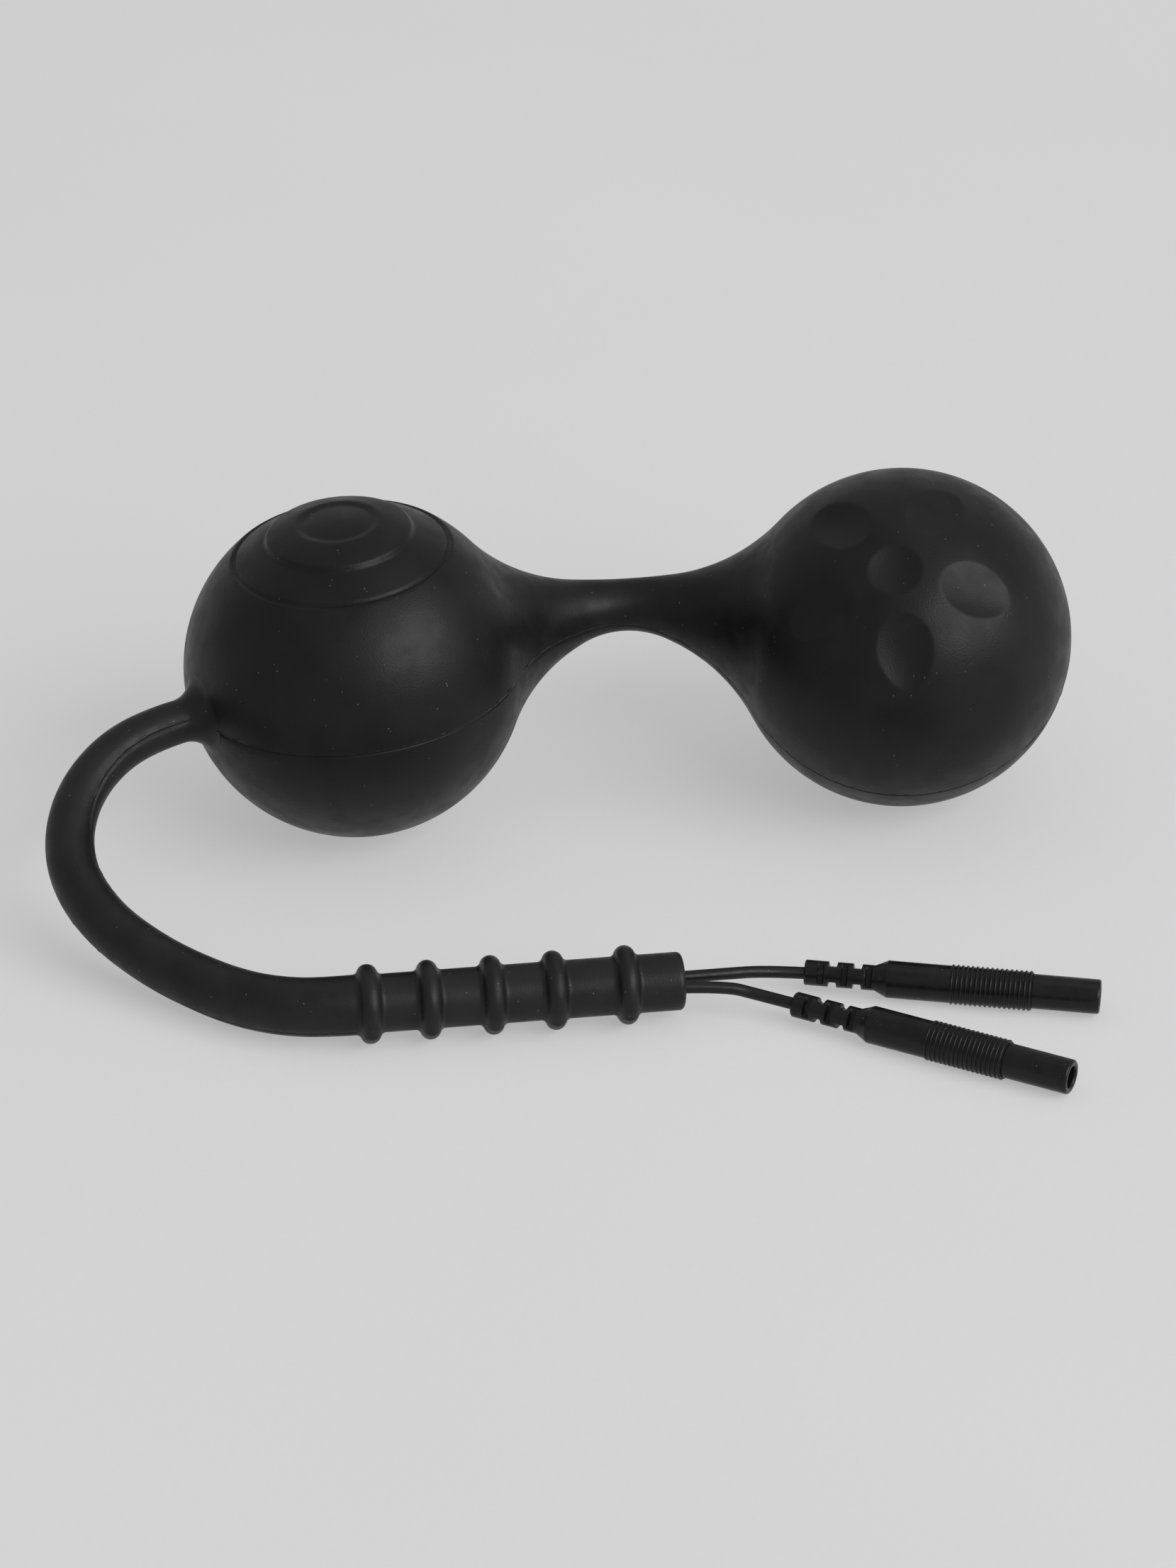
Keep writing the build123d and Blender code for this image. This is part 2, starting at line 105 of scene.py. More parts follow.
# Spans of a ring's points and of a ball's rings, each from and to an angle in degrees with its
# number of steps. The steps are short over the relief and at the parting line.
RING_SPANS = (0, 47, 76), (47, 88.4, 24), (88.4, 91.6, 28), (91.6, 180, 34)
PLACE_SPANS = (1.2, 46, 26), (46, 134, 140)
JOIN_STEPS, INSIDE_STEPS, SEAT_STEPS = 8, 40, 16
INSIDE_POLE, SEAT_EDGE = radians(2), radians(3)
SHARP_ANGLE = radians(38)  # edges turned by more than this are shaded as edges
DIMPLE_R, DIMPLE_DEPTH = 3.0, 0.7
PETALS, PETAL_POLAR, PETAL_TURN = 5, 28.5, 32.0
FLOWER_LEAN = 4.9  # from the front ball's pole to the round dimple, towards the neck
PETAL_LENGTH, PETAL_WIDTH, PETAL_TAPER = 8.6, 6.2, 0.1
RIM_SOFTNESS = 0.055  # depth over which a dimple's rim is rounded
SEAM_HEIGHT, SEAM_WIDTH = 0.11, 0.10  # ridge left along the mould's parting line
SEAM_STEP = 0.07  # how far the lower half of the mould stands in at the parting line
STEP_WIDTH, STEP_REACH = 0.24, 1.2  # width of that step, and how far below the line it fades
FLECK_SHORT, FLECK_LONG = 3, 9  # rings over which the ridge's strength is evened out
FLECK_CONTRAST, FLECK_LEVEL = 4.2, 1.85  # how strongly and how seldom the ridge stands out
REAR_SEED, FRONT_SEED, TAIL_SEED, NECK_SEED = 1, 2, 3, 5
CREASE_DEPTH, CREASE_WIDTH, CREASE_PLACE = 0.13, 0.13, -0.20  # crease just below the ridge
REAR_NECK_CREASE = 0.3  # share of the crease that is left where the neck meets the rear ball
CREASE_FADE = radians(60), radians(135)  # where it fades on the rear ball, from the far pole
TAIL_START = BALL_R - TAIL_ROOT_DEPTH  # distance of the tail's first ring from the ball's centre
ROOT_R, ROOT_FILLET, ROOT_STEPS = 2.4, 3.0, 18  # the tail beside the ball, and its root's fillet
ROOT_LIP = 0.4  # length inside the skin over which the root widens
ROOT_GAP = 0.1  # least length from the fillet's last ring to the tail's next one
ROOT_STRAIGHT, ROOT_TURN = 2.0, 4.0  # the tail keeps the root's line this far, then leaves it
ROOT_FILLET_END = sqrt((BALL_R + ROOT_FILLET) ** 2 - (ROOT_R + ROOT_FILLET) ** 2)
ROOT_FILLET_R = BALL_R * (ROOT_R + ROOT_FILLET) / (BALL_R + ROOT_FILLET)
RIB_FILLET = 0.6
TAIL_SEAM, GRIP_SEAM = 0.8, 0.3  # size of the parting line there, beside that of the balls
TAIL_ROLL = radians(30)  # how far the parting line stands above the inner side of the tail's curve
RIB_NUB, RIB_NUB_WIDTH = 0.16, 0.4  # height, as a share of the rib's, and width of the flash nubs
RIB_NUB_START = 0.4  # height on a rib at which its nub begins
GRIP_STEPS, GRIP_ROUND_STEPS = 420, 8
GRIP_RIM_RADII, GRIP_FACE_RADII = (2.2, 1.8), (1.7, 0.6)  # rings on its end, and on the sunk face
GRIP_FACE_SUNK = 0.06
NECK_STEPS = 34  # rings along each straight part of the neck and along its bend
NECK_TWIST_START, NECK_TWIST_SPAN = 0.12, 0.76  # shares of the neck over which its rings turn
BORE_START = WIRE_END + 0.2  # distance of the bore's ends from the balls' centres
BOOT_SLOTS, BOOT_SLOT_WIDTH, BOOT_SLOT_FLOOR = (1.75, 4.3, 6.9), 0.62, 0.76
BOOT_NOTCHES, BOOT_NOTCH_WIDTH, BOOT_NOTCH_FLOOR = (3.0, 5.65), 0.85, 0.84
BOOT_EDGE = 0.14  # width over which a slot's edge falls
BOOT_ROLL = 30.0  # how far the connectors lie turned about their own axes
LEAST_SHARE = 0.01  # of a direction across a slot's floor, so that its distance stays finite
BOOT_CHAMFER, BARREL_CHAMFER, EDGE_STEP = 0.1, 0.04, 0.05
BOOT_FIRST = 0.12  # place of the boot's first full ring
PLAIN_GAP, FINGER_GAP = 0.4, 0.2  # from an edge to the nearest plain ring, and at the finger rings
BOOT_STEPS, BARREL_STEPS, FINGER_STEPS, TIP_STEPS = 26, 9, 9, 8
TIP_ROUND, TIP_ROUND_STEPS = 0.28, 7
WIRE_POINTS, LATHE_POINTS = 24, 96  # points of a ring
TAIL_POINTS, GRIP_POINTS, LINE_POINTS = 24, 30, 11  # up to a parting line, and across it
LINE_START, LINE_END = 80, 100  # angles in degrees between which the points across it lie
CURVE_STEPS, CURVE_BEVEL, CURVE_ORDER = 20, 8, 3


def unit(v):
    """The vector at length 1."""
    return v / np.linalg.norm(v)


def turned(v, axis, angle):
    """v turned about a unit axis, in radians."""
    return v * cos(angle) + np.cross(axis, v) * sin(angle) + axis * np.dot(axis, v) * (1 - cos(angle))


def distance(a, b):
    """Distance between two points."""
    return float(np.linalg.norm(a - b))


def ball_frame(centre, roll):
    """A ball's own axes: x towards the neck, z its pole, turned by roll degrees about x."""
    x = unit(NECK_CORNER - centre)
    z = turned(np.cross(x, unit(np.cross(UP, x))), x, radians(roll))
    return np.array((x, np.cross(z, x), z))


REAR_CENTRE = np.array((-BALL_SPACING / 2, 0, BALL_R))
FRONT_CENTRE = np.array((BALL_SPACING / 2, 0, BALL_R))
REAR_AXES = ball_frame(REAR_CENTRE, 0)
FRONT_AXES = ball_frame(FRONT_CENTRE, -FRONT_ROLL)

NECK_REACH = np.linalg.norm(NECK_CORNER - REAR_CENTRE)
NECK_HALF_TURN = acos(BALL_SPACING / 2 / NECK_REACH)
NECK_BEND_R = NECK_BEND_TANGENT / tan(NECK_HALF_TURN)
BEND_START = NECK_REACH - NECK_BEND_TANGENT
WAIST_PLACE = BEND_START + NECK_BEND_R * NECK_HALF_TURN
FLARE_R = (WAIST_PLACE**2 + NECK_WAIST_R**2 - BALL_R**2) / (2 * (BALL_R - NECK_WAIST_R))
FLARE_ANGLE = atan2(NECK_WAIST_R + FLARE_R, WAIST_PLACE)
NECK_JOIN = BALL_R * cos(FLARE_ANGLE)

BLEND_BEFORE = 2.4  # how far before the bend the rear blend starts
BLEND_SHORT = np.array((1.0, 0, 0))  # what it stops short of the bend's end
BLEND_START = REAR_CENTRE + REAR_AXES[0] * (BEND_START - BLEND_BEFORE)
BEND_END = FRONT_CENTRE + FRONT_AXES[0] * BEND_START
BLEND_END = BEND_END - BLEND_SHORT
FRONT_JOIN = FRONT_CENTRE + FRONT_AXES[0] * NECK_JOIN

TAIL_ROOT = turned(REAR_AXES[0], REAR_AXES[2], radians(TAIL_ROOT_TURN))
GRIP_DIRECTION = np.array((cos(radians(GRIP_YAW)), sin(radians(GRIP_YAW)), 0))
GRIP_END = GRIP_START + GRIP_DIRECTION * GRIP_LENGTH
TAIL_ROUTE = [
    REAR_CENTRE + TAIL_ROOT * TAIL_START,
    np.array((-53.4, -8.0, 17.1)),
    np.array((-59.2, -11.7, 15.5)),
    np.array((-63.0, -17.2, 12.4)),
    np.array((-63.5, -23.8, 9.0)),
    np.array((-60.4, -30.2, 6.2)),
    np.array((-55.0, -35.9, 4.3)),
    np.array((-49.2, -40.6, 3.4)),
    np.array((-44.9, -43.9, 3.5)),
    np.array((-40.9, -46.0, 3.9)),
    GRIP_START - GRIP_DIRECTION * LEAD_STRAIGHT,
    GRIP_START,
]


def heading(azimuth):
    """Level unit vector at an azimuth from +X towards +Y, in degrees."""
    return np.array((cos(radians(azimuth)), sin(radians(azimuth)), 0))


CONNECTORS = {  # where each boot starts, and its direction
    "upper": (np.array((13.9, -42.3, FINGER_R)), heading(-15.4)),
    "lower": (np.array((11.9, -48.5, FINGER_R)), heading(-33.0)),
}


# ---------------------------------------------------------------- camera and light
def make_camera():
    """The camera, above and in front of the object, a little to the left."""
    data = bpy.data.cameras.new("camera")
    data.lens, data.sensor_width, data.sensor_fit = CAMERA_LENS, CAMERA_SENSOR, "AUTO"
    data.clip_start, data.clip_end = CAMERA_NEAR, CAMERA_FAR
    camera = bpy.data.objects.new("camera", data)
    bpy.context.scene.collection.objects.link(camera)
    camera.location = Vector(CAMERA_PLACE) * MM
    aim = Vector(CAMERA_AIM) * MM - camera.location
    camera.rotation_euler = aim.to_track_quat("-Z", "Y").to_euler()
    bpy.context.scene.camera = camera


def area_light(name, direction, away, size, power):
    """A soft box of this width and height that looks at the object from a direction."""
    data = bpy.data.lights.new(name, "AREA")
    data.shape = "RECTANGLE"
    data.size, data.size_y = size
    data.energy = power
    light = bpy.data.objects.new(name, data)
    bpy.context.scene.collection.objects.link(light)
    back = Vector(direction).normalized()
    light.location = back * away
    light.rotation_euler = (-back).to_track_quat("-Z", "Y").to_euler()


def make_lights():
    """One large soft box to the right, a weaker one above, and a low even world."""
    area_light("key_light", *KEY_LIGHT)
    area_light("top_light", *TOP_LIGHT)
    world = bpy.data.worlds.new("world")
    bpy.context.scene.world = world
    world.use_nodes = True
    background = world.node_tree.nodes["Background"]
    background.inputs["Color"].default_value = WHITE
    background.inputs["Strength"].default_value = WORLD_STRENGTH
    bpy.context.scene.view_settings.view_transform = "Standard"


# ---------------------------------------------------------------- materials
def noise(tree, scale, detail=3.0):
    """Factor output of a noise texture on the object's own coordinates, which are in metres."""
    place = tree.nodes.new("ShaderNodeTexCoord")
    texture = tree.nodes.new("ShaderNodeTexNoise")
    texture.inputs["Scale"].default_value = scale
    texture.inputs["Detail"].default_value = detail
    tree.links.new(place.outputs["Object"], texture.inputs["Vector"])
    return texture.outputs["Fac"]


def ramp(tree, value, low, high, start, end):
    """A value between low and high, as the input goes from start to end."""
    node = tree.nodes.new("ShaderNodeMapRange")
    node.interpolation_type = "SMOOTHSTEP"
    node.inputs["From Min"].default_value = start
    node.inputs["From Max"].default_value = end
    node.inputs["To Min"].default_value = low
    node.inputs["To Max"].default_value = high
    tree.links.new(value, node.inputs["Value"])
    return node.outputs["Result"]


def mixed(tree, factor, first, second):
    """A colour between two colours; either may be a colour or an output."""
    node = tree.nodes.new("ShaderNodeMix")
    node.data_type = "RGBA"
    tree.links.new(factor, node.inputs["Factor"])
    for socket, colour in (("A", first), ("B", second)):
        target = [s for s in node.inputs if s.name == socket and s.type == "RGBA"][0]
        if isinstance(colour, tuple):
            target.default_value = (*colour, 1.0)
        else:
            tree.links.new(colour, target)
    return [s for s in node.outputs if s.type == "RGBA"][0]


def dust(tree, scale, size):
    """1 at scattered specks and 0 elsewhere."""
    place = tree.nodes.new("ShaderNodeTexCoord")
    cells = tree.nodes.new("ShaderNodeTexVoronoi")
    cells.inputs["Scale"].default_value = scale
    tree.links.new(place.outputs["Object"], cells.inputs["Vector"])
    speck = ramp(tree, cells.outputs["Distance"], 1.0, 0.0, size * SPECK_CORE, size)
    patches = ramp(tree, noise(tree, scale * PATCH_SCALE, detail=2.0), 0.0, 1.0, *PATCH_EDGE)
    both = tree.nodes.new("ShaderNodeMath")
    both.operation = "MULTIPLY"
    tree.links.new(speck, both.inputs[0])
    tree.links.new(patches, both.inputs[1])
    return both.outputs[0]


def finish_material(name, dark, light, roughness, cell, grain, bump,
                    metallic=0.0, ior=1.45, gloss=0.5, specks=None):
    """A material whose colour and roughness drift from place to place, with a fine grain.

    cell and grain are noise scales per metre, and bump is the grain's depth in metres.
    specks is the scale, size and colour of its dust, if it has any."""
    material = bpy.data.materials.new(name)
    material.use_nodes = True
    tree = material.node_tree
    shader = tree.nodes["Principled BSDF"]
    shader.inputs["Metallic"].default_value = metallic
    shader.inputs["IOR"].default_value = ior
    shader.inputs["Specular IOR Level"].default_value = gloss
    drift = ramp(tree, noise(tree, cell), 0.0, 1.0, *COLOUR_DRIFT)
    colour = mixed(tree, drift, dark, light)
    if specks:
        scale, size, tone = specks
        colour = mixed(tree, dust(tree, scale, size), colour, tone)
    tree.links.new(colour, shader.inputs["Base Color"])
    rough = ramp(tree, noise(tree, cell * ROUGH_SCALE), *roughness, *ROUGH_DRIFT)
    tree.links.new(rough, shader.inputs["Roughness"])
    relief = tree.nodes.new("ShaderNodeBump")
    relief.inputs["Strength"].default_value = 1.0
    relief.inputs["Distance"].default_value = bump
    tree.links.new(noise(tree, grain, detail=2.0), relief.inputs["Height"])
    tree.links.new(relief.outputs["Normal"], shader.inputs["Normal"])
    return material


def skin_silicone():
    """Black conductive silicone, matt, with a fine mould grain, smudges and a little dust."""
    return finish_material(
        "skin_silicone", dark=(0.0055, 0.0055, 0.0055), light=(0.0085, 0.0084, 0.0082),
        roughness=(0.37, 0.46), cell=160.0, grain=5200.0, bump=0.000022,
        gloss=0.23, specks=(1100.0, 0.12, (0.07, 0.07, 0.07)),
    )


def link_silicone():
    """The softer black silicone of the neck, with a slightly more uneven sheen."""
    return finish_material(
        "link_silicone", dark=(0.0055, 0.0055, 0.0055), light=(0.0085, 0.0084, 0.0082),
        roughness=(0.36, 0.47), cell=240.0, grain=5200.0, bump=0.00002,
        gloss=0.23, specks=(1300.0, 0.14, (0.07, 0.07, 0.07)),
    )


def tail_silicone_painted_lighter():
    """The black silicone of the tail and the grip, its base colour painted a little lighter to stand in
    for the light they catch.
    """
    return finish_material(
        # painted light: a lighter base colour than the balls' silicone, for the brighter look of the tail
        # and grip
        "tail_silicone_painted_lighter", dark=(0.0078, 0.0078, 0.0078), light=(0.0118, 0.0117, 0.0115),
        roughness=(0.38, 0.50), cell=240.0, grain=5200.0, bump=0.00002,
        gloss=0.27, specks=(1300.0, 0.14, (0.07, 0.07, 0.07)),
    )


def lead_vinyl():
    """Satin black jacket of the two leads."""
    return finish_material(
        "lead_vinyl", dark=(0.005, 0.005, 0.0052), light=(0.009, 0.009, 0.009),
        roughness=(0.30, 0.42), cell=420.0, grain=7000.0, bump=0.00001,
        gloss=0.3, specks=(1600.0, 0.12, (0.08, 0.08, 0.08)),
    )


def connector_plastic():
    """Satin black moulded plastic of the connector bodies."""
    return finish_material(
        "connector_plastic", dark=(0.004, 0.004, 0.0043), light=(0.007, 0.007, 0.0074),
        roughness=(0.26, 0.36), cell=500.0, grain=9000.0, bump=0.000006,
        gloss=0.3, specks=(1500.0, 0.12, (0.09, 0.09, 0.09)),
    )


def tip_plastic():
    """Slightly glossier black plastic of the connector tips."""
    return finish_material(
        "tip_plastic", dark=(0.004, 0.004, 0.0043), light=(0.007, 0.007, 0.0074),
        roughness=(0.24, 0.34), cell=500.0, grain=9000.0, bump=0.000004,
        gloss=0.3, specks=(1500.0, 0.11, (0.09, 0.09, 0.09)),
    )


def capsule_plastic():
    """Natural white moulded plastic of the shells inside the balls."""
    return finish_material(
        "capsule_plastic", dark=(0.58, 0.57, 0.53), light=(0.66, 0.65, 0.61),
        roughness=(0.34, 0.46), cell=180.0, grain=4000.0, bump=0.00001,
        ior=1.49,
    )


def contact_metal():
    """Plated spring metal of the contact caps."""
    return finish_material(
        "contact_metal", dark=(0.60, 0.57, 0.50), light=(0.72, 0.69, 0.61),
        roughness=(0.26, 0.40), cell=300.0, grain=6000.0, bump=0.000006,
        metallic=1.0,
    )


def weight_steel():
    """Brushed steel of the loose weights."""
    return finish_material(
        "weight_steel", dark=(0.42, 0.42, 0.43), light=(0.56, 0.56, 0.57),
        roughness=(0.18, 0.32), cell=220.0, grain=5000.0, bump=0.000005,
        metallic=1.0,
    )


def wire_jacket():
    """Dull red jacket of the wires inside the object."""
    return finish_material(
        "wire_jacket", dark=(0.22, 0.020, 0.016), light=(0.30, 0.030, 0.024),
        roughness=(0.40, 0.52), cell=500.0, grain=7000.0, bump=0.000008,
    )


def socket_brass():
    """Tarnished brass of the pin sockets."""
    return finish_material(
        "socket_brass", dark=(0.48, 0.33, 0.13), light=(0.68, 0.50, 0.22),
        roughness=(0.22, 0.40), cell=600.0, grain=7000.0, bump=0.000005,
        metallic=1.0,
    )


def floor_paper():
    """Plain pale paper under the object, which glows a little so that shadows stay light."""
    paper = finish_material(
        "floor_paper", dark=(0.28, 0.28, 0.28), light=(0.29, 0.29, 0.29),
        roughness=(0.88, 0.96), cell=9.0, grain=900.0, bump=0.00003,
        ior=1.3,
    )
    shader = paper.node_tree.nodes["Principled BSDF"]
    shader.inputs["Emission Color"].default_value = WHITE
    shader.inputs["Emission Strength"].default_value = FLOOR_GLOW
    return paper


# ---------------------------------------------------------------- meshes
def surface(name, rings, tips=(), normals=None, first=0):
    """A closed mesh over rings of points, in mm.

    With two tips it ends in a point at each end, and with none it goes round into itself.
    normals, if given, are those of the rings from first on, and are kept as drawn."""
    count, around = rings.shape[:2]
    points = np.concatenate([rings.reshape(-1, 3), *[np.atleast_2d(tip) for tip in tips]])
    index = np.arange(count * around).reshape(count, around)
    beside = np.roll(index, -1, axis=1)
    last = count - 1 if tips else count
    ahead, ahead_beside = np.roll(index, -1, axis=0), np.roll(beside, -1, axis=0)
    faces = np.stack((index, ahead, ahead_beside, beside), axis=-1)[:last].reshape(-1, 4).tolist()
    if tips:
        start, end = count * around, count * around + 1
        faces += [(start, a, b) for a, b in zip(index[0].tolist(), beside[0].tolist())]
        faces += [(a, end, b) for a, b in zip(index[-1].tolist(), beside[-1].tolist())]
    mesh = bpy.data.meshes.new(name)
    mesh.from_pydata((points * MM).tolist(), [], faces)
    mesh.polygons.foreach_set("use_smooth", [True] * len(mesh.polygons))
    mesh.update()
    if normals is None:
        mesh.set_sharp_from_angle(angle=SHARP_ANGLE)
    else:
        keep_normals(mesh, normals, first * around)
    piece = bpy.data.objects.new(name, mesh)
    bpy.context.scene.collection.objects.link(piece)
    return piece


def keep_normals(mesh, normals, first):
    """Sets the drawn normals of the points from first on, where a face has only such points."""
    table = np.zeros((len(mesh.vertices), 3))
    last = first + normals.shape[0] * normals.shape[1]
    table[first:last] = normals.reshape(-1, 3)
    corners, starts, sizes = (np.empty(n, int) for n in (len(mesh.loops), *[len(mesh.polygons)] * 2))
    mesh.loops.foreach_get("vertex_index", corners)
    mesh.polygons.foreach_get("loop_start", starts)
    mesh.polygons.foreach_get("loop_total", sizes)
    drawn = np.logical_and.reduceat((corners >= first) & (corners < last), starts)
    values = table[corners] * np.repeat(drawn, sizes)[:, None]
    mesh.normals_split_custom_set(values.tolist())


def grid_normals(rings):
    """Outward normals of a grid of rings, from its neighbouring points."""
    along = np.gradient(rings, axis=0)
    across = np.roll(rings, -1, axis=1) - np.roll(rings, 1, axis=1)
    normals = np.cross(along, across)
    length = np.linalg.norm(normals, axis=2, keepdims=True)
    return normals / np.maximum(length, TINY)


def paint(piece, material):
    """Gives a piece its material."""
    piece.data.materials.clear()
    piece.data.materials.append(material)


def smooth(t):
    """Smooth step of a share from 0 to 1."""
    t = np.clip(t, 0, 1)
    return t * t * (3 - 2 * t)


# ---------------------------------------------------------------- balls and neck
def around_angles():
    """Angles of the points of a ring of a ball or the neck."""
    half = np.concatenate([np.linspace(*span, endpoint=False) for span in RING_SPANS])
    return np.radians(np.concatenate((half, 360 - half[:0:-1])))


def ball_places():
    """Angles of a ball's rings from its far pole to the neck's join, in radians."""
    spans = [np.linspace(*span, endpoint=False) for span in PLACE_SPANS]
    last = np.linspace(PLACE_SPANS[-1][1], 180 - degrees(FLARE_ANGLE), JOIN_STEPS)
    return np.radians(np.concatenate((*spans, last)))


def rear_height(pole, across, toward):
    """Height of the rear ball's relief in a direction, given as its parts along the ball's axes."""
    polar = np.degrees(np.arccos(np.clip(pole, -1, 1)))
    angles, heights = zip(*REAR_RELIEF)
    return np.interp(polar, angles, heights)


def dimple(share):
    """Depth of a dimple with a soft rim, where share is 0 at its middle and 1 at its rim."""
    bowl = DIMPLE_DEPTH * (1 - share**2)
    return (bowl + np.sqrt(bowl**2 + RIM_SOFTNESS**2)) / 2


def front_height(pole, across, toward):
    """Height of the front ball's relief: a round dimple near the pole and petals round it."""
    lean = radians(FLOWER_LEAN)
    pole, toward = pole * cos(lean) + toward * sin(lean), toward * cos(lean) - pole * sin(lean)
    polar = np.arccos(np.clip(pole, -1, 1))
    height = -dimple(BALL_R * polar / DIMPLE_R)
    for i in range(PETALS):
        turn, tilt = radians(PETAL_TURN + i * 360 / PETALS), radians(PETAL_POLAR)
        out_x, out_y = cos(turn), sin(turn)
        middle = toward * sin(tilt) * out_x + across * sin(tilt) * out_y + pole * cos(tilt)
        outward = toward * cos(tilt) * out_x + across * cos(tilt) * out_y - pole * sin(tilt)
        aside = across * out_x - toward * out_y
        length = BALL_R * np.arctan2(outward, middle) / (PETAL_LENGTH / 2)
        width = BALL_R * np.arctan2(aside, middle) / (PETAL_WIDTH / 2 * (1 - PETAL_TAPER * length))
        height = np.minimum(height, -dimple(np.sqrt(length**2 + width**2)))
    return height


def raggedness(count, seed):
    """Uneven strength of the parting line's ridge along a piece, from 0 to 1."""
    rough = np.random.default_rng(seed).random(count + FLECK_LONG - 1)
    fine = np.convolve(rough, np.ones(FLECK_SHORT) / FLECK_SHORT, "valid")[:count]
    slow = np.convolve(rough, np.ones(FLECK_LONG) / FLECK_LONG, "same")[:count]
    return np.clip(FLECK_CONTRAST * (fine + slow) / 2 - FLECK_LEVEL, 0, 1)


def seam(offset, ridge, crease):
    """Height of the parting line at a distance from its middle, for shares of its ridge and crease."""
    below = 1 - smooth(offset / STEP_WIDTH + 0.5)
    step = SEAM_STEP * np.exp(-np.abs(offset) / STEP_REACH) * below
    groove = CREASE_DEPTH * np.exp(-(((offset - CREASE_PLACE) / CREASE_WIDTH) ** 2))
    return ridge * SEAM_HEIGHT * np.exp(-((offset / SEAM_WIDTH) ** 2)) - crease * (step + groove)


def ball_rings(centre, axes, side, relief, angles, seed, last_crease):
    """A ball's outer rings, from its far pole to the neck's join.

    last_crease is the share of the parting line's crease that is left at the join."""
    toward, across, pole = axes[0], axes[1] * side, axes[2]
    places = ball_places()
    strength = raggedness(len(places) * 2, seed).reshape(-1, 2)
    rings = []
    for place, (left, right) in zip(places, strength):
        t = np.full_like(angles, -cos(place))
        p, a = sin(place) * np.cos(angles), sin(place) * np.sin(angles)
        fade = smooth((place - CREASE_FADE[0]) / (CREASE_FADE[1] - CREASE_FADE[0]))
        crease = 1 + (last_crease - 1) * fade
        height = relief(p, a * side, t) + seam(BALL_R * p, np.where(a > 0, left, right), crease)
        out = t[:, None] * toward + a[:, None] * across + p[:, None] * pole
        rings.append(centre + out * (BALL_R + height)[:, None])
    return np.array(rings)


def neck_radius(place):
    """Neck radius at a distance along its centre line from a ball's centre."""
    return NECK_WAIST_R + FLARE_R - sqrt(FLARE_R**2 - (WAIST_PLACE - place) ** 2)


def carried(start, end, v):
    """v turned as the direction start turns into end."""
    axis = np.cross(start, end)
    size = np.linalg.norm(axis)
    return v if size < TINY else turned(v, axis / size, atan2(size, np.dot(start, end)))


def neck_centres():
    """Centre, direction and radius of the neck's rings, from the rear join to the front one."""
    outward = unit(NECK_CORNER * (0, 1, 1) - UP * BALL_R)
    middle = NECK_CORNER - outward * (NECK_BEND_R / cos(NECK_HALF_TURN))
    along = np.array((1.0, 0, 0))
    straight = np.linspace(NECK_JOIN, BEND_START, NECK_STEPS)
    centres = [(REAR_CENTRE + REAR_AXES[0] * s, REAR_AXES[0], neck_radius(s)) for s in straight]
    for turn in np.linspace(-NECK_HALF_TURN, NECK_HALF_TURN, NECK_STEPS + 1)[1:-1]:
        centre = middle + (outward * cos(turn) + along * sin(turn)) * NECK_BEND_R
        radius = neck_radius(WAIST_PLACE - abs(turn) * NECK_BEND_R)
        centres.append((centre, along * cos(turn) - outward * sin(turn), radius))
    for s in straight[::-1]:
        centres.append((FRONT_CENTRE + FRONT_AXES[0] * s, -FRONT_AXES[0], neck_radius(s)))
    return centres


def neck_sections():
    """The neck's rings as centre, radius, up and side, turning smoothly from pole to pole."""
    toward, across, pole = REAR_AXES
    last_pole = carried(toward, -FRONT_AXES[0], pole)
    last_across = carried(toward, -FRONT_AXES[0], across)
    roll = atan2(np.dot(FRONT_AXES[2], last_across), np.dot(FRONT_AXES[2], last_pole))
    centres = neck_centres()
    sections = []
    for i, (centre, direction, radius) in enumerate(centres):
        share = i / (len(centres) - 1)
        turn = roll * float(smooth((share - NECK_TWIST_START) / NECK_TWIST_SPAN))
        first, second = carried(toward, direction, pole), carried(toward, direction, across)
        up, side = first * cos(turn) + second * sin(turn), second * cos(turn) - first * sin(turn)
        sections.append((centre, radius, up, side))
    return sections


def circle(centre, first, second, radius, angles):
    """One ring of points about a centre."""
    radius = np.broadcast_to(radius, angles.shape)[:, None]
    return centre + (np.cos(angles)[:, None] * first + np.sin(angles)[:, None] * second) * radius


def neck_rings(sections, angles):
    """The neck's outer rings, with the parting line."""
    strength = raggedness(len(sections) * 2, NECK_SEED).reshape(-1, 2)
    creases = np.linspace(REAR_NECK_CREASE, 1, len(sections))
    rings = []
    for (centre, radius, up, side), sides, crease in zip(sections, strength, creases):
        relief = seam(radius * np.cos(angles), np.where(np.sin(angles) > 0, *sides), crease)
        rings.append(circle(centre, up, side, radius + relief, angles))
    return np.array(rings)


def inside_rings(centre, axes, side, angles, radius, places):
    """Rings on a sphere inside a ball, at angles from its far pole, in radians."""
    return np.array([
        circle(centre - axes[0] * radius * cos(p), axes[2], axes[1] * side, radius * sin(p), angles)
        for p in places
    ])


def make_skin(name, node, body, centre, axes, side, outer, normals, angles, silicone):
    """A ball's skin: the outer rings, then the inner wall back to the far pole."""
    places = np.linspace(pi - FLARE_ANGLE, INSIDE_POLE, INSIDE_STEPS)
    inner = inside_rings(centre, axes, side, angles, INNER_R, places)
    tips = [centre - axes[0] * BALL_R, centre - axes[0] * INNER_R]
    if side > 0:
        skin = surface(name, np.concatenate((outer, inner)), tips, normals)
    else:
        skin = surface(name, np.concatenate((inner[::-1], outer)), tips[::-1], normals, len(inner))
    paint(skin, silicone)
    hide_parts(node)
    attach(skin, body)


def section_rings(sections, radius, angles):
    """Rings of a plain radius about sections of the neck."""
    return np.array([circle(centre, up, side, radius, angles) for centre, _, up, side in sections])


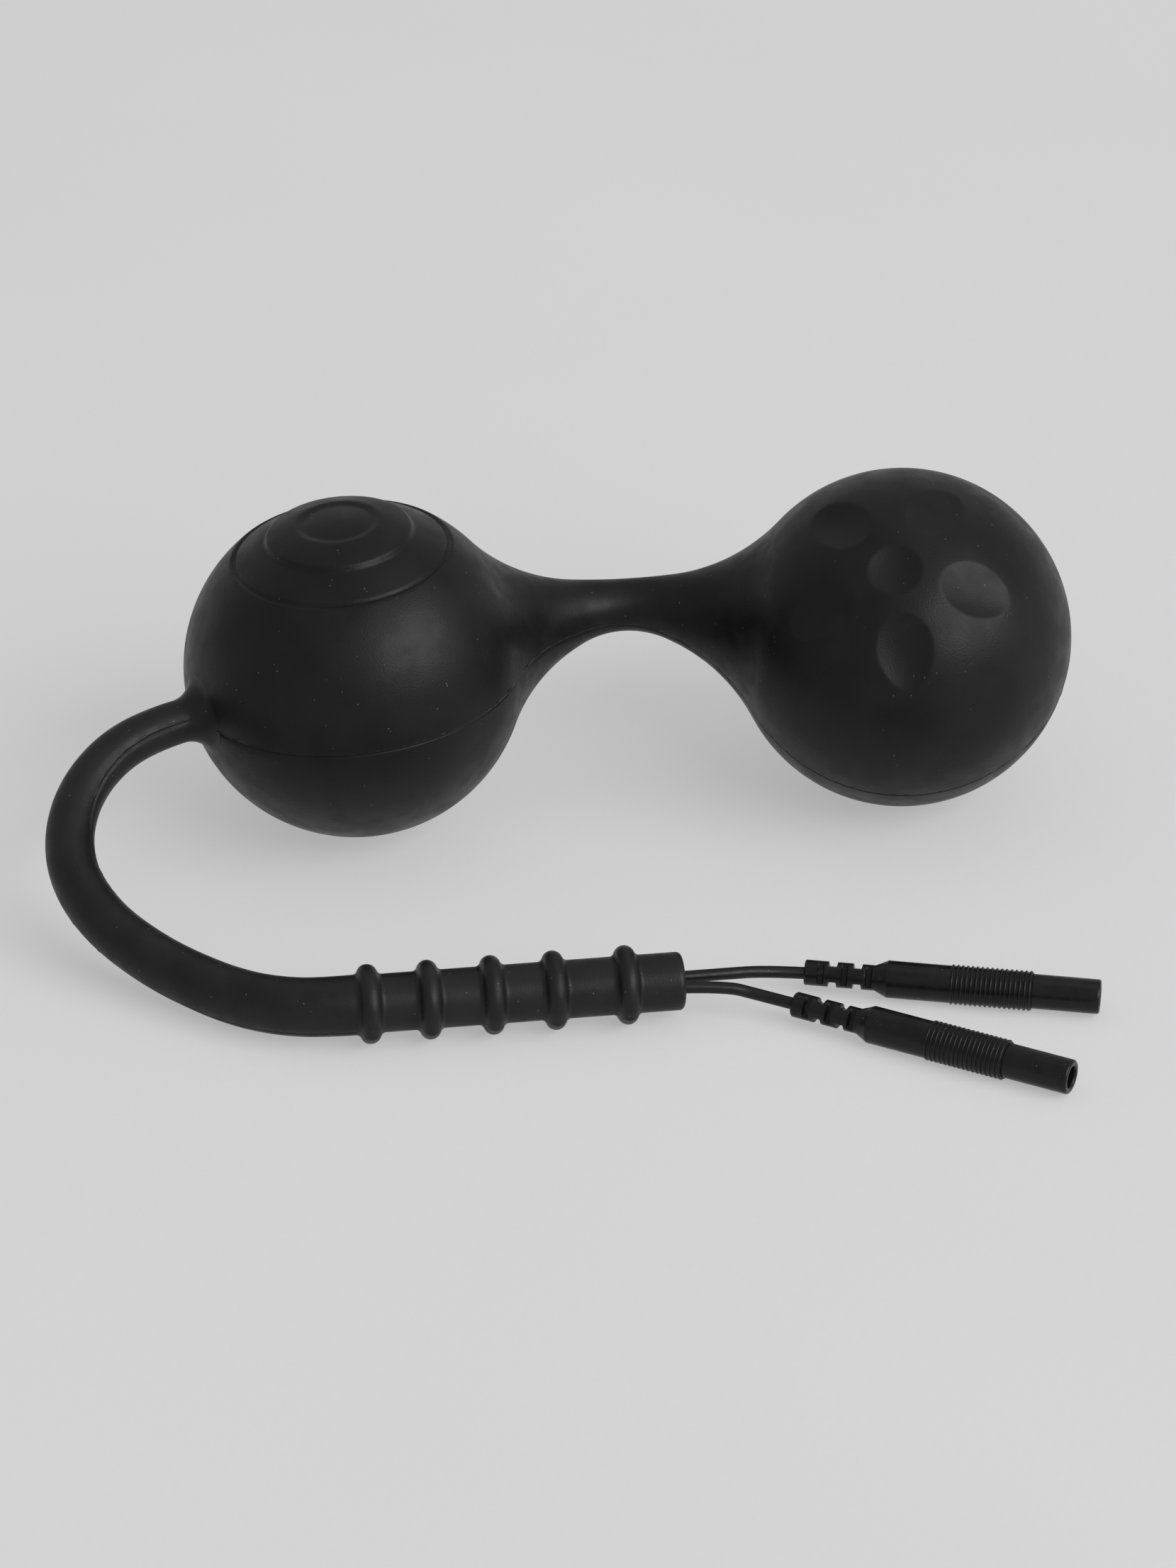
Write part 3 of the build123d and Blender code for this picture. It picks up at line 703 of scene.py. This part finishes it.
def make_neck_half(name, outer, normals, inner, link):
    """Half of the neck: its outer rings, then those of its bore and of its seat on the capsule."""
    half = surface(name, np.concatenate((outer, *inner)), (), normals)
    paint(half, link)
    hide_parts("neck")
    return half


def make_balls_and_neck(silicone, link):
    """The two skins and the two halves of the neck, as one smooth surface in four pieces.

    Returns the sections of the neck's bore, in the two halves."""
    angles = around_angles()
    sections = neck_sections()
    rear = ball_rings(REAR_CENTRE, REAR_AXES, 1, rear_height, angles, REAR_SEED, REAR_NECK_CREASE)
    front = ball_rings(FRONT_CENTRE, FRONT_AXES, -1, front_height, angles, FRONT_SEED, 1)[::-1]
    whole = np.concatenate((rear, neck_rings(sections, angles)[1:-1], front))
    normals = grid_normals(whole)
    rear_join, front_join = len(rear) - 1, len(rear) + len(sections) - 2
    split = rear_join + 2 * NECK_STEPS - 1

    outer = slice(0, rear_join + 1)
    make_skin("rear_skin", "rear_ball_skin", "rear_ball", REAR_CENTRE, REAR_AXES, 1,
              whole[outer], normals[outer], angles, silicone)
    outer = slice(front_join, None)
    make_skin("front_skin", "front_ball_skin", "front_ball", FRONT_CENTRE, FRONT_AXES, -1,
              whole[outer], normals[outer], angles, silicone)

    bored = [s for s in sections
             if min(distance(s[0], REAR_CENTRE), distance(s[0], FRONT_CENTRE)) > BORE_START]
    middle = int(np.argmin([distance(s[0], BEND_END) for s in bored]))
    rear_half, front_half = bored[: middle + 1], bored[middle:]
    seats = np.linspace(pi - SEAT_EDGE, pi - FLARE_ANGLE, SEAT_STEPS)

    outer = slice(rear_join, split + 1)
    bore = section_rings(rear_half, NECK_BORE_R, angles)[::-1]
    seat = inside_rings(REAR_CENTRE, REAR_AXES, 1, angles, WIRE_END, seats)
    half = make_neck_half("neck_rear", whole[outer], normals[outer], (bore, seat), link)
    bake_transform(half)
    outer = slice(split, front_join + 1)
    bore = section_rings(front_half, NECK_BORE_R, angles)[::-1]
    seat = inside_rings(FRONT_CENTRE, FRONT_AXES, -1, angles, INNER_R, seats)[::-1]
    half = make_neck_half("neck_front", whole[outer], normals[outer], (seat, bore), link)
    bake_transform(half)
    return rear_half, front_half


def make_neck_wires(halves, jacket):
    """The wire in the neck's bore, cut where the neck's two halves meet."""
    angles = np.linspace(0, 2 * pi, WIRE_POINTS, endpoint=False)
    ends = (("rear_ball", "neck", BLEND_START, BLEND_END), ("neck", "front_ball", BEND_END, FRONT_JOIN))
    for half, (first, second, start, end) in zip(halves, ends):
        rings = section_rings(half, WIRE_R, angles)
        wire = surface(f"wire_{first}", rings, (half[0][0], half[-1][0]))
        paint(wire, jacket)
        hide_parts("neck_wire")
        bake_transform(wire)


# ---------------------------------------------------------------- tail and leads
def nurbs(name, points, radius=0.0):
    """A curve object whose one NURBS spline has these control points, with a round section."""
    data = bpy.data.curves.new(name, "CURVE")
    data.dimensions = "3D"
    data.resolution_u = CURVE_STEPS
    data.bevel_depth, data.bevel_resolution = radius * MM, CURVE_BEVEL
    data.use_fill_caps = True
    spline = data.splines.new("NURBS")
    spline.points.add(len(points) - 1)
    for target, point in zip(spline.points, points):
        target.co = (*(point * MM), 1.0)
    spline.order_u, spline.use_endpoint_u = CURVE_ORDER, True
    curve = bpy.data.objects.new(name, data)
    bpy.context.scene.collection.objects.link(curve)
    return curve


def centre_line(points):
    """Points along the NURBS spline of a route, in mm."""
    curve = nurbs("centre_line", points)
    bpy.context.view_layer.update()
    mesh = bpy.data.meshes.new_from_object(curve)
    line = np.array([v.co for v in mesh.vertices]) / MM
    bpy.data.objects.remove(curve)
    bpy.data.meshes.remove(mesh)
    return line


def root_profile():
    """The tail's root, as distances from the ball's centre and radii: into the skin, then a fillet."""
    swell = ROOT_FILLET_END - sqrt(BALL_R**2 - ROOT_FILLET_R**2)
    start = pi / 2 - acos(swell / ROOT_FILLET)
    profile = [(TAIL_START, TAIL_ROOT_R), (TAIL_START + ROOT_LIP, ROOT_FILLET_R)]
    for turn in np.linspace(start, 0, ROOT_STEPS):
        radius = ROOT_R + ROOT_FILLET - ROOT_FILLET * cos(turn)
        profile.append((ROOT_FILLET_END - ROOT_FILLET * sin(turn), radius))
    return profile


def seam_angles(steps):
    """Angles of the points of a ring, close together at both parting lines."""
    half = np.concatenate((
        np.linspace(0, LINE_START, steps, endpoint=False),
        np.linspace(LINE_START, LINE_END, LINE_POINTS),
        np.linspace(LINE_END, 180, steps)[1:-1],
    ))
    return np.radians(np.concatenate((half, half + 180)))


def make_tail(silicone):
    """The tail: a tapered hose that grows out of the rear ball with a fillet, and widens to the grip."""
    line = centre_line(TAIL_ROUTE)
    travel = np.concatenate(((0,), np.cumsum(np.linalg.norm(np.diff(line, axis=0), axis=1))))
    places = [(place - TAIL_START, radius) for place, radius in root_profile()]
    root_end = places[-1][0]
    for s in travel[travel > root_end + ROOT_GAP]:
        share = (s - root_end) / (travel[-1] - root_end)
        places.append((float(s), ROOT_R + (TAIL_END_R - ROOT_R) * share))
    angles = seam_angles(TAIL_POINTS)
    strength = raggedness(len(places) * 2, TAIL_SEED).reshape(-1, 2)
    slopes = np.gradient(line, travel, axis=0)
    outer, bore = [], []
    for (s, radius), sides in zip(places, strength):
        leave = float(smooth((s - ROOT_STRAIGHT) / ROOT_TURN))
        point = np.array([np.interp(s, travel, line[:, i]) for i in range(3)])
        ahead = np.array([np.interp(s, travel, slopes[:, i]) for i in range(3)])
        point = point * leave + (TAIL_ROUTE[0] + TAIL_ROOT * s) * (1 - leave)
        ahead = unit(unit(ahead) * leave + TAIL_ROOT * (1 - leave))
        side = unit(np.cross(UP, ahead))
        up = np.cross(ahead, side)
        up, side = turned(up, ahead, TAIL_ROLL), turned(side, ahead, TAIL_ROLL)
        ridge = np.where(np.sin(angles) > 0, *sides) * TAIL_SEAM
        relief = seam(radius * np.cos(angles), ridge, TAIL_SEAM)
        outer.append(circle(point, up, side, radius + relief * leave, angles))
        bore.append(circle(point, up, side, TAIL_BORE_R, angles))
    tail = surface("tail_hose", np.array(outer + bore[::-1]))
    paint(tail, silicone)
    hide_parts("tail")
    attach(tail, "rear_ball")
    return tail, line


def lathe(name, origin, direction, profile, tips=(), angles=None, relief=None):
    """A piece turned round an axis, over (radius, place) points. tips are places on the axis."""
    if angles is None:
        angles = np.linspace(0, 2 * pi, LATHE_POINTS, endpoint=False)
    side = np.cross(UP, direction)
    rings = []
    for radius, place in profile:
        size = radius if relief is None else relief(radius, place, angles)
        rings.append(circle(origin + direction * place, UP, side, size, angles))
    return surface(name, np.array(rings), [origin + direction * place for place in tips])


def rounded(radius, place, size, turns):
    """Profile points of a round edge of a size about a point, at turns from the radius."""
    return [(radius + size * cos(turn), place + size * sin(turn)) for turn in turns]


def grip_radius(place):
    """Radius of the grip's outline: a plain hose with round ribs that meet it in small fillets."""
    base = float(np.interp(place, (0, RIB_PLACES[0]), (TAIL_END_R, GRIP_R)))
    reach = sqrt((RIB_R + RIB_FILLET) ** 2 - RIB_FILLET**2)
    touch = reach * RIB_R / (RIB_R + RIB_FILLET)
    off = min(abs(place - rib) for rib in RIB_PLACES)
    if off <= touch:
        return base + sqrt(RIB_R**2 - off**2)
    if off < reach:
        return base + RIB_FILLET - sqrt(RIB_FILLET**2 - (reach - off) ** 2)
    return base


def grip_relief(radius, place, angles):
    """The grip's radius round a ring, with a flash nub on the parting line at each rib."""
    if radius < GRIP_R:
        return radius
    crest = max(0.0, radius - GRIP_R - RIB_NUB_START)
    offset = radius * np.cos(angles + TAIL_ROLL)
    nub = RIB_NUB * crest * np.exp(-((offset / RIB_NUB_WIDTH) ** 2))
    return radius + seam(offset, GRIP_SEAM, GRIP_SEAM) + nub


def make_grip(silicone):
    """The ribbed grip at the tail's end."""
    bore_end, face = GRIP_LENGTH - GRIP_END_WALL, GRIP_LENGTH - GRIP_FACE_SUNK
    round_start = GRIP_LENGTH - GRIP_ROUND
    turns = np.linspace(0, pi / 2, GRIP_ROUND_STEPS)[1:]
    profile = [(TAIL_BORE_R, bore_end), (TAIL_BORE_R, 0)]
    profile += [(grip_radius(p), p) for p in np.linspace(0, round_start, GRIP_STEPS)]
    profile += rounded(GRIP_R - GRIP_ROUND, round_start, GRIP_ROUND, turns)
    profile += [(r, GRIP_LENGTH) for r in GRIP_RIM_RADII] + [(r, face) for r in GRIP_FACE_RADII]
    grip = lathe("grip", GRIP_START, GRIP_DIRECTION, profile, (bore_end, face),
                 seam_angles(GRIP_POINTS) - TAIL_ROLL, grip_relief)
    paint(grip, silicone)
    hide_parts("ribbed_grip")
    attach(grip, "rear_ball")
    return grip


def lead_route(side, connector):
    """A lead beside the tail's centre line, free past the grip's end, then in its connector."""
    origin, direction = connector
    route = []
    for behind, point, ahead in zip(TAIL_ROUTE[:1] + TAIL_ROUTE, TAIL_ROUTE[:-1], TAIL_ROUTE[1:]):
        route.append(point + unit(np.cross(UP, ahead - behind)) * LEAD_OFFSET * side)
    free = GRIP_END + GRIP_DIRECTION * LEAD_STRAIGHT
    route.append(free + np.cross(UP, GRIP_DIRECTION) * LEAD_OFFSET * side)
    route.append(origin - direction * LEAD_STRAIGHT)
    route.append(origin + direction * LEAD_IN_BOOT)
    return route


def boot_relief(radius, place, angles):
    """A connector's radius round a ring. Its boot has slots, and notches between them at right angles."""
    size = np.full_like(angles, radius)
    roll = radians(BOOT_ROLL)
    if place > BARREL_START or radius < BOOT_CORE_R:
        return size
    for slots, width, depth, toward in (
        (BOOT_SLOTS, BOOT_SLOT_WIDTH, BOOT_SLOT_FLOOR, np.abs(np.sin(angles - roll))),
        (BOOT_NOTCHES, BOOT_NOTCH_WIDTH, BOOT_NOTCH_FLOOR, np.abs(np.cos(angles - roll))),
    ):
        off = min(abs(place - slot) for slot in slots)
        inside = float(smooth((width / 2 - off) / BOOT_EDGE + 0.5))
        cut = np.minimum(radius, depth / np.maximum(toward, LEAST_SHARE))
        size = np.minimum(size, radius + (cut - radius) * inside)
    return size


def boot_places():
    """Places of the boot's rings: a few at each edge of a slot or notch, and some between."""
    places = list(np.linspace(BOOT_FIRST, BOOT_END - BOOT_CHAMFER, BOOT_STEPS))
    for slots, width in ((BOOT_SLOTS, BOOT_SLOT_WIDTH), (BOOT_NOTCHES, BOOT_NOTCH_WIDTH)):
        for slot in slots:
            edges = [BOOT_EDGE * share for share in (-0.5, -0.25, 0, 0.25, 0.5)]
            places += [slot + side * (width / 2 + gap) for side in (-1, 1) for gap in edges]
    return sorted(places)


def make_connector_body(name, plastic):
    """A connector's boot and barrel, hollow for its lead, socket and tip."""
    outer = [(LEAD_R + FIT_GAP, 0), (BOOT_R - BOOT_CHAMFER, 0)]
    outer += [(BOOT_R, p) for p in boot_places()]
    outer += [(BOOT_R, BOOT_END), (BARREL_R - BARREL_CHAMFER, BARREL_START)]
    outer += [(BARREL_R, BARREL_START + EDGE_STEP)]
    plain = np.linspace(BARREL_START + PLAIN_GAP, FINGER_START - FINGER_GAP, BARREL_STEPS)
    outer += [(BARREL_R, p) for p in plain]
    pitch, crest = (FINGER_END - FINGER_START) / FINGER_RINGS, FINGER_R - BARREL_R
    for i in range(FINGER_RINGS):
        middle = FINGER_START + pitch * (i + 0.5)
        turns = np.linspace(0, pi, FINGER_STEPS)
        outer += [(BARREL_R + crest * sin(t), middle - crest * cos(t)) for t in turns]
    cup = SOCKET_CUP_R + FIT_GAP
    inner = [
        (BARREL_R, FINGER_END), (TIP_TAIL_R, FINGER_END), (TIP_TAIL_R, TIP_TAIL_START),
        (cup, TIP_TAIL_START), (cup, LEAD_IN_BOOT), (LEAD_R + FIT_GAP, LEAD_IN_BOOT),
    ]
    body = lathe(f"{name}_connector", *CONNECTORS[name], outer + inner, relief=boot_relief)
    paint(body, plastic)
    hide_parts(f"{name}_connector_body")
    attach(body, "rear_ball")
    return body


def make_connector_tip(name, plastic):
    """A connector's tip round its pin socket, with a round mouth."""
    bore, sleeve = SOCKET_R + FIT_GAP, TIP_TAIL_R - FIT_GAP
    round_start, socket_end = CONNECTOR_LENGTH - TIP_ROUND, SOCKET_END + FIT_GAP
    profile = [(bore, TIP_TAIL_START), (sleeve, TIP_TAIL_START), (sleeve, FINGER_END)]
    profile += [(TIP_R - EDGE_STEP, FINGER_END), (TIP_R, FINGER_END + EDGE_STEP)]
    profile += [(TIP_R, p) for p in np.linspace(FINGER_END + PLAIN_GAP, round_start, TIP_STEPS)]
    turns = np.linspace(0, pi / 2, TIP_ROUND_STEPS)
    profile += rounded(TIP_R - TIP_ROUND, round_start, TIP_ROUND, turns[1:])
    profile += rounded(MOUTH_R + TIP_ROUND, round_start, TIP_ROUND, turns + pi / 2)
    profile += [(MOUTH_R, socket_end), (bore, socket_end)]
    tip = lathe(f"{name}_tip", *CONNECTORS[name], profile)
    paint(tip, plastic)
    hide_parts(f"{name}_connector_tip")
    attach(tip, "rear_ball")
    return tip


def make_lead(name, side, end, vinyl):
    """A lead, as a round NURBS curve."""
    lead = nurbs(f"{name}_wire", lead_route(side, CONNECTORS[end]), LEAD_R)
    paint(lead, vinyl)
    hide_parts(name)
    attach(lead, "rear_ball")
    return lead


def make_cords(silicone, vinyl, body_finish, tip_finish):
    """The tail, its grip, and the two leads with their connectors."""
    tail, line = make_tail(silicone)
    grip = make_grip(silicone)
    leads = (("front_lead", 1, "upper", FRONT_LEAD_LENGTH), ("rear_lead", -1, "lower", REAR_LEAD_LENGTH))
    for name, side, end, length in leads:
        lead = make_lead(name, side, end, vinyl)
        pieces = [make_connector_body(end, body_finish), make_connector_tip(end, tip_finish)]


# ---------------------------------------------------------------- pieces kept from the CAD, and the floor
def repaint(names, material):
    """Gives CAD pieces a material."""
    for name in names:
        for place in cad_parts[name].material_slots:
            place.material = material


def make_floor():
    """A wide plain floor, which is not part of the object."""
    mesh = bpy.data.meshes.new("floor")
    corners = [(x * FLOOR_REACH, y * FLOOR_REACH, 0) for x, y in ((-1, -1), (1, -1), (1, 1), (-1, 1))]
    mesh.from_pydata(corners, [], [(0, 1, 2, 3)])
    mesh.materials.append(floor_paper())
    floor = bpy.data.objects.new("floor", mesh)
    bpy.context.scene.collection.objects.link(floor)


make_camera()
make_cords(tail_silicone_painted_lighter(), lead_vinyl(), connector_plastic(), tip_plastic())
jacket = wire_jacket()
make_neck_wires(make_balls_and_neck(skin_silicone(), link_silicone()), jacket)
repaint(("bridge_wire",), jacket)
capsules = [f"{ball}_capsule_{half}" for ball in ("rear", "front") for half in ("upper", "lower")]
repaint(capsules, capsule_plastic())
repaint(("rear_contact_cap", "front_contact_cap"), contact_metal())
repaint(("rear_weight", "front_weight"), weight_steel())
repaint(("upper_pin_socket", "lower_pin_socket"), socket_brass())
make_floor()
make_lights()
